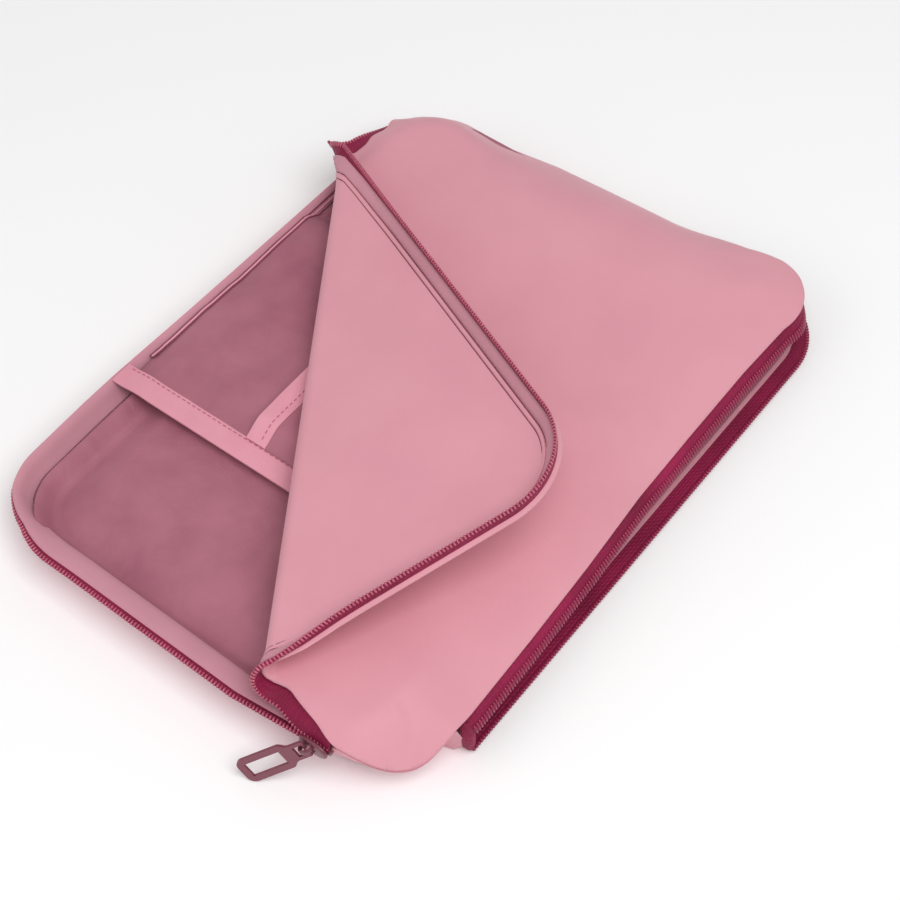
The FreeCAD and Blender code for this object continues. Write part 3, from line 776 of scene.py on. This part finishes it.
def plan_slab(name, inset_fn, z_lo, z_hi, step, mat, rim=(0.8, 1.8, 3.5), bulge=0.5, extra=None):
    b_ = np.array([(px - nx * inset_fn(px, py, nx, ny), py - ny * inset_fn(px, py, nx, ny)) for px, py, nx, ny in perimeter(2.5)])
    inn = []
    for r_ in rim:
        inn.append(np.array([(px - nx * (inset_fn(px, py, nx, ny) + r_), py - ny * (inset_fn(px, py, nx, ny) + r_)) for px, py, nx, ny in perimeter(3.0)]))
    mx_ = max(rim) + 2.5
    g_ = grid_points(X0, X1, Y0, Y1, step, lambda x, y: inset_of(x, y) > 16.0 + mx_)
    inn.append(g_)
    p2, tri = triangulate(b_, np.concatenate(inn))
    a = np.stack([p2[:, 0], p2[:, 1], z_hi(p2[:, 0], p2[:, 1])], 1)
    c = np.stack([p2[:, 0], p2[:, 1], z_lo(p2[:, 0], p2[:, 1])], 1)
    v, f = sheet_solid(a, c, tri, bulge)
    return add(name, v, f, mat, "sleeve")


def back_inset(px, py, nx, ny):
    mo = float(wall_height(np.float64(px), np.float64(py))[1])
    b_ = 13.5 - 7.0 * float(ss(-nx)) - (9.5 * float(ss(ny)) if px < 141 else 0)
    return (b_ + 0.6) * (1 - mo) + 2.4 * mo


back = plan_slab("back_panel_cloth", back_inset, lambda x, y: 0 * x + 0.0, lambda x, y: 0 * x + 3.0, 9.0, M_NEO)
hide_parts("back_panel")

# ------------------------------------------------------------------ divider with its lining (front side), and laptop-side lining
def div_top(x, y):
    d = inset_of(x, y)
    m_, b_, e_ = factors(x, y)
    side = np.maximum(b_ * ss((x + 140) / 20.0), ss((x - 90) / 40.0) * (1 - ss((y - 80) / 20.0)))
    trough = np.exp(-((d - 21.0) / 6.0) ** 2) * 6.5 * side
    up = ss((17.0 - d) / 7.0) * 1.0 * side
    wr = 0.5 * noise(x, y, 17.0, 3) + 0.3 * noise(x + 0.6 * y, y, 8.0, 5)
    return 21.2 - trough + up + wr * 0.8 * ss((d - 12) / 8.0)


def div_inset(px, py, nx, ny):
    return 10.0 + 2.0 * float(ss(-nx)) + (-4.0 * float(ss(ny)) if px < 141 else 0.0) + 1.5 * float(ss(nx)) * 0


div = plan_slab("divider_padded_lining", div_inset, lambda x, y: div_top(x, y) - 2.0, div_top, 4.5, M_LIN, rim=(1.5, 3.0, 5.0, 7.5, 10.0, 13.0), bulge=0.4)
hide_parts("divider_board", "divider_skirt_slider_end", "divider_skirt_corner", "divider_skirt_base")

lin = plan_slab("laptop_side_lining", lambda px, py, nx, ny: back_inset(px, py, nx, ny) + (4.5 if py < 100 else 3.0), lambda x, y: 0 * x + 3.05,
                lambda x, y: 3.65 + 0.25 * noise(x, y, 22.0, 9), 9.0, M_LIN, rim=(1.0, 2.5), bulge=0.1)
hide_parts("laptop_lining")

# ------------------------------------------------------------------ open rim: facing, tape and coil
LOW = path_front(2.0, y_start=90.0, x_end=-146.0)


def rim_mix(px, py, nx, ny):
    """0 on the slider end (rim lies flat), 1 on the base edge (rim stands up)."""
    return float(ss(-ny))


def rim_ring(profile_flat, profile_up, path):
    rings = []
    for px, py, nx, ny in path:
        k = rim_mix(px, py, nx, ny)
        bow = bow_at(px, py, nx, ny)
        loop = []
        for (d0, z0), (d1, z1) in zip(profile_flat, profile_up):
            d, z = d0 + (d1 - d0) * k, z0 + (z1 - z0) * k
            loop.append((px - nx * (d - bow), py - ny * (d - bow), z))
        rings.append(loop)
    return np.array(rings)


face_flat = [(4.4, 23.7), (7.5, 23.5), (10.5, 22.9), (13.5, 21.9), (15.8, 20.6), (16.3, 19.8), (15.2, 19.9), (13.0, 20.9), (10.2, 21.7), (7.5, 22.2), (4.4, 22.4), (3.8, 23.1)]
face_up = [(2.0, 26.7), (3.6, 26.3), (5.8, 23.9), (7.2, 21.2), (9.2, 18.4), (10.8, 17.0), (10.0, 16.4), (8.2, 17.6), (6.2, 20.4), (4.6, 22.8), (2.7, 24.3), (1.5, 25.5)]
rimf = loft("rim_facing_band", rim_ring(face_flat, face_up, LOW), M_FACE, "sleeve")
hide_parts("rim_facing")
tl_flat = [(1.6, 24.1), (4.2, 23.4), (5.2, 22.6), (5.0, 21.9), (4.0, 22.5), (1.6, 23.3)]
tl_up = [(1.7, 22.6), (2.2, 24.4), (3.0, 25.0), (3.1, 24.2), (2.9, 23.6), (2.5, 21.8)]
lt = loft("front_zip_tape_lower_cloth", rim_ring(tl_flat, tl_up, LOW), M_TAPE, "sleeve")
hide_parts("front_zip_tape_lower")


def rim_line(flat, up, path):
    return rim_ring([flat], [up], path)[:, 0]


cl = rim_line((1.3, 23.8), (1.5, 21.8), LOW)
cr = rim_line((4.0, 23.6), (2.3, 24.0), LOW)
lo_core = rod("front_zip_lower_core", cl, cr, 2.2, 0.9, M_TAPE, "sleeve")
lo_row = teeth("front_zip_lower_teeth", cl, cr, PITCH, (1.25, 2.9, 1.9), M_COIL_HIGHLIT, "sleeve", tilt=0.35)
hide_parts("front_zip_coil_lower")

# ------------------------------------------------------------------ laptop mouth: zipper sides
def path_mouth(step, x_start=140.0, y_end=94.0):
    pts = []
    n = int((x_start - (X0 + R_FM)) / step)
    for i in range(n):
        pts.append((x_start + (X0 + R_FM - x_start) * i / n, Y1, 0.0, 1.0))
    n = int(R_FM * math.pi / 2 / step)
    for i in range(n + 1):
        a = math.pi / 2 + math.pi / 2 * i / n
        pts.append((X0 + R_FM + R_FM * math.cos(a), Y1 - R_FM + R_FM * math.sin(a), math.cos(a), math.sin(a)))
    return np.array(pts)


MP = path_mouth(2.0, x_start=134.5)


def mouth_rings(path, prof):
    """prof: (distance out from the panel's edge, share of the drop from panel to coil)."""
    rings = []
    for px, py, nx, ny in path:
        e = edge_pt(px, py, nx, ny, 1.2)
        ti = (px - e[0]) * nx + (py - e[1]) * ny
        zu = e[2] - T_FRONT - 0.1
        in_ = 0.9 * float(ss((-nx - 0.15) * 1.5))
        loop = []
        for o, k, dz in prof:
            if o > -0.5:
                o = o * (1 - in_) - (0.5 if dz > -0.3 else 1.2) * in_
            loop.append((px - nx * (ti - o), py - ny * (ti - o), zu + (20.4 - zu) * k + dz))
        rings.append(loop)
    return np.array(rings)


mt = loft("laptop_zip_tape_upper_cloth", mouth_rings(MP, [(-2.6, 0, 0), (-0.6, 0.0, 0), (0.8, 0.14, 0), (2.2, 0.36, 0), (3.6, 0.62, 0), (4.9, 0.9, 0),
                                                    (4.2, 0.9, -0.4), (2.9, 0.62, -0.5), (1.6, 0.36, -0.6), (0.4, 0.14, -0.7), (-0.8, 0.0, -0.8), (-2.6, 0, -0.8)]), M_TAPE, "sleeve")
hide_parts("laptop_zip_tape_upper")
c_ = mouth_rings(MP, [(4.6, 0.86, 0.5)])[:, 0]
a_ = mouth_rings(MP, [(2.6, 0.46, 0.5)])[:, 0]
mc = teeth("laptop_zip_upper_teeth", c_, a_, PITCH, (1.2, 4.8, 1.7), M_MOUTH_COIL, "sleeve", tilt=0.35)
rod("laptop_zip_upper_core", c_, a_, 2.2, 0.9, M_TAPE, "sleeve")
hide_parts("laptop_zip_coil_upper")
ml_prof = [(-3.4, 3.2), (1.6, 3.2), (3.0, 3.3), (3.0, 2.6), (1.5, 2.4), (-3.4, 2.4)]
ml = loft("laptop_zip_tape_lower_cloth", section(MP, ml_prof), M_TAPE, "sleeve")
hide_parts("laptop_zip_tape_lower")
c_ = section(MP, [(-4.4, 2.6)])[:, 0]
a_ = section(MP, [(-1.0, 2.6)])[:, 0]
mr = teeth("laptop_zip_lower_teeth", c_, a_, PITCH, (1.25, 2.9, 1.9), M_MOUTH_COIL, "sleeve", tilt=0.35)
rod("laptop_zip_lower_core", c_, a_, 2.2, 0.9, M_TAPE, "sleeve")
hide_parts("laptop_zip_coil_lower")

# closed stretch on the far end
yy = np.arange(30.0, 93.6, 2.0)
for tag, zc, zt_ in (("low", 4.4, 1.0), ("high", 6.9, 10.5)):
    c_ = np.stack([0 * yy - 187.0, yy, 0 * yy + zc], 1)
    a_ = np.stack([0 * yy - 187.0, yy, 0 * yy + zt_], 1)
    r_ = teeth("laptop_zip_closed_teeth_" + tag, c_, a_, PITCH, (1.25, 2.4, 1.8), M_COIL_HIGHLIT, "sleeve", tilt=0.35)
    if tag == "low":
        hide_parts("laptop_zip_coil_closed")
    z0_, z1_ = (0.5, 4.0) if tag == "low" else (7.4, 14.6)
    ring_ = []
    for q in yy:
        ring_.append([(-186.6, q, z0_), (-185.0, q, z1_), (-185.7, q, z1_), (-187.3, q, z0_)] if tag == "high" else
                     [(-184.4, q, z0_), (-186.6, q, z1_), (-187.3, q, z1_), (-185.1, q, z0_)])
    t_ = loft("laptop_zip_closed_tape_" + tag, np.array(ring_), M_TAPE, "sleeve")
    if tag == "low":
        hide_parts("laptop_zip_tape_closed")

# ------------------------------------------------------------------ slip pockets
def sheet_grid(name, x0, x1, y0, y1, zf, thick, step, mat, body="sleeve"):
    nx_, ny_ = int(round((x1 - x0) / step)) + 1, int(round((y1 - y0) / step)) + 1
    xs, ys = np.linspace(x0, x1, nx_), np.linspace(y0, y1, ny_)
    gx, gy = np.meshgrid(xs, ys, indexing="ij")
    gz = zf(gx, gy)
    o = np.stack([gx.ravel(), gy.ravel(), gz.ravel()], 1)
    tri = []
    for i in range(nx_ - 1):
        for j in range(ny_ - 1):
            a = i * ny_ + j
            tri.append((a, a + ny_, a + ny_ + 1))
            tri.append((a, a + ny_ + 1, a + 1))
    v, f = sheet_solid(o, o - np.array([0, 0, thick]), tri, 0.1)
    return add(name, v, f, mat, body)


def tab_z(x, y):
    """Tablet pocket panel: level in the middle, down to the rim on the base side and to the divider on the mouth side."""
    z = 28.3 - 3.4 * ss((-111 - y) / 17.0) - 6.6 * ss((y - 66) / 14.0) - 6.0 * ss((-62 - x) / 14.0)
    z = z - 1.0 * np.exp(-((x - 84) / 30.0) ** 2) * np.sin(np.clip((y + 118) / 190.0, 0, 1) * math.pi) * 0.6
    wr = 0.9 * noise(x * 0.9 + y * 0.35, y * 1.2, 19.0, 11) + 0.5 * noise(x, y + 0.8 * x, 9.0, 12)
    near = 0.35 + 0.65 * ss((-y - 60) / 50.0)
    return z + wr * near * 0.75 * ss((76 - x) / 12.0)


tab = sheet_grid("tablet_pocket_cloth", -76.0, 83.5, -127.0, 80.0, tab_z, 0.7, 3.0, M_LIN)
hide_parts("tablet_pocket_panel", "tablet_pocket_pleat_base", "tablet_pocket_pleat_mouth", "tablet_pocket_pleat_end")


def rim_lay(x, d):
    """Height of whatever covers the open rim's inner side at this distance in from its edge."""
    z = np.interp(d, [2.0, 3.6, 5.8, 7.2, 9.2, 10.8], [26.7, 26.3, 23.9, 21.2, 18.4, 17.0])
    cover = ss((x + 79) / 6.0) * ss((86 - x) / 3.0)
    lay = tab_z(x, Y0 + d + 0 * x)
    return z + np.maximum(lay - z, 0) * cover


def rim_line_at(d, up):
    xs = np.arange(60.0, -128.0, -2.5)
    bow = np.array([bow_at(x_, Y0, 0.0, -1.0) for x_ in xs])
    y_ = Y0 + d - bow * 0.6
    return np.stack([xs, y_, rim_lay(xs, d + 0.4 * bow) + up], 1)


# Light piping along the lining's edge, with two dark cords beside it as painted shade for the gap between the rim
# facing and the lining.
for nm_, d_, up_, w_, h_, mt_ in (("lining_edge_piping", 6.6, 0.35, 1.2, 1.0, M_BIND), ("lining_edge_shadow_line", 5.5, 0.2, 1.0, 0.6, M_SEAM_SHADE),
                                  ("lining_edge_inner_shadow_line", 7.6, 0.15, 0.8, 0.5, M_SEAM_SHADE)):
    q_ = rim_line_at(d_, up_)
    rod(nm_, q_, q_ + np.array([0, 1.0, 0]), w_, h_, mt_, "sleeve")


def strip_along_y(name, x0, x1, y0, y1, zf, mat, up=0.55, down=1.2, step=3.0):
    rings = []
    for q in np.arange(y0, y1 + 0.1, step):
        loop = []
        xs = np.linspace(x0, x1, 7)
        for i, xx in enumerate(xs):
            e = 0.35 if i in (0, 6) else 0.0
            loop.append((xx, q, float(zf(np.float64(xx), np.float64(q))) + up - e))
        for i, xx in enumerate(xs[::-1]):
            e = 0.35 if i in (0, 6) else 0.0
            loop.append((xx, q, float(zf(np.float64(xx), np.float64(q))) - down + e))
        rings.append(loop)
    return loft(name, np.array(rings), mat, "sleeve")


def strip_z(x, y):
    return tab_z(x, y) + 2.2 * ss((-108 - y) / 16.0)


b1 = strip_along_y("tablet_pocket_bound_edge", 71.4, 84.6, -133.0, 79.0, strip_z, M_BIND)
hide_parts("tablet_pocket_binding")


def pho_z(x, y):
    base = tab_z(x, y) + 0.6
    inside = ss((x + 14) / 9.0) * ss((75 - x) / 15.0) * ss((46 - y) / 10.0)
    return base + 0.3 + (36.4 - base) * inside * 0.86 + 0.35 * noise(x, y, 14.0, 21)


pho = sheet_grid("phone_pocket_cloth", -15.0, 72.5, -52.5, 46.0, pho_z, 0.6, 2.5, M_LIN)
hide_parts("phone_pocket_panel", "phone_pocket_pleat_near", "phone_pocket_pleat_far", "phone_pocket_pleat_end")


def strip_along_x(name, x0, x1, y0, y1, zf, mat, up=0.55, down=1.15, step=2.5):
    rings = []
    for q in np.arange(x0, x1 + 0.1, step):
        loop = []
        ys = np.linspace(y0, y1, 7)
        for i, yv in enumerate(ys):
            e = 0.35 if i in (0, 6) else 0.0
            loop.append((q, yv, float(zf(np.float64(q), np.float64(yv))) + up - e))
        for i, yv in enumerate(ys[::-1]):
            e = 0.35 if i in (0, 6) else 0.0
            loop.append((q, yv, float(zf(np.float64(q), np.float64(yv))) - down + e))
        rings.append(loop)
    return loft(name, np.array(rings), mat, "sleeve")


b2 = strip_along_x("phone_pocket_bound_edge", -15.0, 72.5, -53.6, -41.4, pho_z, M_BIND)
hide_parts("phone_pocket_binding")


# ------------------------------------------------------------------ stitches
def stitches(name, pts, up, length, gap, dia, mat, body="sleeve", blend=False):
    """Short thread bars along a polyline; up: matching unit vectors out of the cloth."""
    at, cum = along(pts, length + gap, gap)
    c0, c1 = interp(pts, cum, at), interp(pts, cum, at + length)
    u = interp(up, cum, at)
    V_, F_ = [], []
    for i in range(len(at)):
        a, b_ = c0[i], c1[i]
        t = b_ - a
        L = np.linalg.norm(t)
        if L < 1e-3:
            continue
        t /= L
        w = np.cross(t, u[i])
        w /= max(np.linalg.norm(w), 1e-9)
        n_ = np.cross(w, t)
        base = len(V_) * 24
        vs = []
        for k, (f_, r_, dz) in enumerate(((0.0, 0.35, -0.35), (0.2, 1.0, 0.1), (0.8, 1.0, 0.1), (1.0, 0.35, -0.35))):
            for j in range(6):
                an = 2 * math.pi * j / 6
                vs.append(a + t * (L * f_) + w * (dia / 2 * r_ * math.cos(an)) + n_ * (dia / 2 * r_ * math.sin(an) + dz * dia))
        V_.append(np.array(vs))
        for k in range(3):
            for j in range(6):
                j2 = (j + 1) % 6
                F_.append((base + k * 6 + j, base + k * 6 + j2, base + (k + 1) * 6 + j2, base + (k + 1) * 6 + j))
        F_.append(tuple(base + j for j in range(6))[::-1])
        F_.append(tuple(base + 18 + j for j in range(6)))
    ob = add(name, np.concatenate(V_), F_, mat, None if blend else body)
    if blend:
        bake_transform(ob)
    return ob


UPV = np.array([0, 0, 1.0])
q = np.arange(-130.5, 79.0, 1.0)
pp = np.stack([0 * q + 73.1, q, strip_z(0 * q + 73.1, q) + 0.62], 1)
stitches("tablet_pocket_stitch_row", pp, np.tile(UPV, (len(pp), 1)), 2.4, 1.0, 0.55, M_THREAD_D)
q = np.arange(-14.5, 72.0, 1.0)
pp = np.stack([q, 0 * q - 45.2, pho_z(q, 0 * q - 45.2) + 0.62], 1)
stitches("phone_pocket_stitch_row", pp, np.tile(UPV, (len(pp), 1)), 2.4, 1.0, 0.55, M_THREAD_D)

# ------------------------------------------------------------------ front slider, end stops, mouth end
def superell(a, b, n=36, e=2.6):
    out = []
    for i in range(n):
        t = 2 * math.pi * i / n
        c, q_ = math.cos(t), math.sin(t)
        out.append((a * math.copysign(abs(c) ** (2 / e), c), b * math.copysign(abs(q_) ** (2 / e), q_)))
    return np.array(out)


def puck(name, o, u, v, n, a, b, levels, mat, body):
    """Rounded plate: superellipse in u, v, stacked along n. levels: (height, scale)."""
    o, u, v, n = (np.array(q_, float) for q_ in (o, u, v, n))
    base_ = superell(a, b)
    rings = [o + base_[:, :1] * k * u + base_[:, 1:] * k * v + n * h for h, k in levels]
    return loft(name, np.array(rings), mat, body, smooth=50)


dome = [(0.0, 0.9), (0.1, 0.97), (0.35, 1.0), (1.1, 1.0), (1.5, 0.96), (1.8, 0.86), (2.0, 0.6)]
sb = puck("front_slider_outer_plate", (186.2, 82.6, 24.8), (0, 1, 0), (0, 0, 1), (1, 0, 0), 8.2, 4.7, dome, M_METAL, "front_slider")
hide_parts("front_slider_body")
puck("front_slider_inner_plate", (183.4, 81.8, 24.6), (0, 1, 0), (0, 0, 1), (-1, 0, 0), 6.4, 3.3, [(0, 0.94), (0.2, 1.0), (1.1, 1.0), (1.4, 0.92)], M_METAL, "front_slider")
puck("front_slider_neck", (183.0, 86.0, 24.6), (0, 1, 0), (0, 0, 1), (1, 0, 0), 2.0, 0.5, [(0, 1.0), (3.6, 1.0)], M_METAL, "front_slider")
FW, FD, FN = np.array([0.12009, -0.60045, 0.79059]), np.array([0.52203, -0.63918, -0.56475]), np.array([0.84443, 0.48053, 0.23669])
FO = np.array([189.7, 80.5, 25.2])
arc_ = []
for k in range(15):
    t_ = math.pi * k / 14
    arc_.append(FO + FD * (-3.5 * math.cos(t_)) + FN * (-1.7 + 4.4 * math.sin(t_) ** 0.8))
arc_ = np.array([arc_[0] - FN * 0.9] + arc_ + [arc_[-1] - FN * 0.9])
br_ = rod("front_slider_loop", arc_, arc_ + FW, 3.2, 1.2, M_METAL, "front_slider")
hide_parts("front_slider_bridge")
st_ = puck("front_zip_stop_near", (184.2, 90.6, 25.0), (0, 1, 0), (0, 0, 1), (1, 0, 0), 1.2, 1.9, [(-1.4, 0.85), (-1.2, 1.0), (1.2, 1.0), (1.4, 0.85)], M_METAL, "sleeve")
puck("front_zip_stop_far", (-147.3, -130.3, 25.0), (1, 0, 0), (0, 0, 1), (0, -1, 0), 1.2, 1.9, [(-1.4, 0.85), (-1.2, 1.0), (1.2, 1.0), (1.4, 0.85)], M_METAL, "sleeve")
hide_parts("front_zip_stops")
# folded tape end that closes the laptop mouth at its near corner
e0 = edge_pt(135.0, Y1, 0.0, 1.0, 1.2)
w_ = []
for k in np.linspace(0, 1, 9):
    yt = e0[1] + 1.2 + 1.9 * k + 1.4 * math.sin(math.pi * k)
    zt = (e0[2] - T_FRONT - 1.2) * (1 - k) + 3.3 * k
    xo = 135.6 + 1.6 * math.sin(math.pi * k)
    w_.append([(132.6, yt + 0.4, zt), (xo - 0.8, yt + 0.8, zt), (xo + 0.4, yt - 0.4, zt), (xo + 0.8, yt - 4.0, zt), (xo, yt - 4.4, zt), (xo - 0.6, yt - 1.2, zt), (132.6, yt - 0.5, zt)])
me_ = loft("laptop_zip_folded_end", np.array(w_), M_TAPE, "sleeve")
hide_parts("laptop_zip_stops")

# strip that closes the front pocket along the mouth edge, and CAD nodes kept
rings = []
for x_ in np.arange(-146.0, 134.1, 3.5):
    top_ = float(edge_pt(x_, Y1, 0.0, 1.0, 9.8)[2]) - T_FRONT - 0.2
    low_ = float(div_top(np.float64(x_), np.float64(121.2))) + 0.05
    wv = 0.35 * float(noise(np.float64(x_), np.float64(0.0), 16.0, 31))
    rings.append([(x_, 121.6 + wv, low_), (x_, 122.2 + wv, (low_ + top_) / 2), (x_, 121.6 + wv, top_),
                  (x_, 120.9 + wv, top_), (x_, 121.5 + wv, (low_ + top_) / 2), (x_, 120.9 + wv, low_)])
clo = loft("mouth_closing_strip_cloth", np.array(rings), M_LIN, "sleeve")
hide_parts("mouth_closing_strip")
for nm, mt_ in (("laptop_slider_body", M_METAL), ("laptop_slider_bridge", M_METAL),
                ("front_zip_pull", M_PULL), ("laptop_zip_pull", M_PULL)):
    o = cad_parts[nm]
    o.data.materials.clear()
    o.data.materials.append(mt_)

# ------------------------------------------------------------------ stage and light
bpy.ops.mesh.primitive_plane_add(size=12, location=(0, 0, -0.0002))
floor = bpy.context.object
floor.name = "floor"
fm, fnt, fb = new_mat("floor_paper")
fn = node(fnt, "ShaderNodeTexNoise", Scale=3.0, Detail=2.0)
fr = node(fnt, "ShaderNodeValToRGB")
fr.color_ramp.elements[0].color = (0.955, 0.955, 0.955, 1)
fr.color_ramp.elements[1].color = (0.975, 0.975, 0.975, 1)
fnt.links.new(fn.outputs["Fac"], fr.inputs["Fac"])
fnt.links.new(fr.outputs["Color"], fb.inputs["Base Color"])
fb.inputs["Roughness"].default_value = 0.9
floor.data.materials.append(fm)

world = bpy.data.worlds.new("studio")
world.use_nodes = True
bg = world.node_tree.nodes["Background"]
bg.inputs["Color"].default_value = (1, 1, 1, 1)
bg.inputs["Strength"].default_value = 0.52
bpy.context.scene.world = world


def area(name, loc, target, size, power, color=(1, 1, 1)):
    ld = bpy.data.lights.new(name, "AREA")
    ld.energy = power
    ld.size = size
    ld.color = color
    lo = bpy.data.objects.new(name, ld)
    bpy.context.scene.collection.objects.link(lo)
    lo.location = loc
    lo.rotation_euler = (Vector(target) - Vector(loc)).to_track_quat("-Z", "Y").to_euler()
    return lo


# soft key from the right and behind the camera's right shoulder, weaker fill from the left
area("key", (0.35, 0.75, 1.6), (0.05, 0.02, 0), 1.2, 18.5)
area("fill", (1.5, -0.8, 1.3), (0, 0, 0), 1.6, 5)
bpy.context.scene.view_settings.view_transform = "Standard"
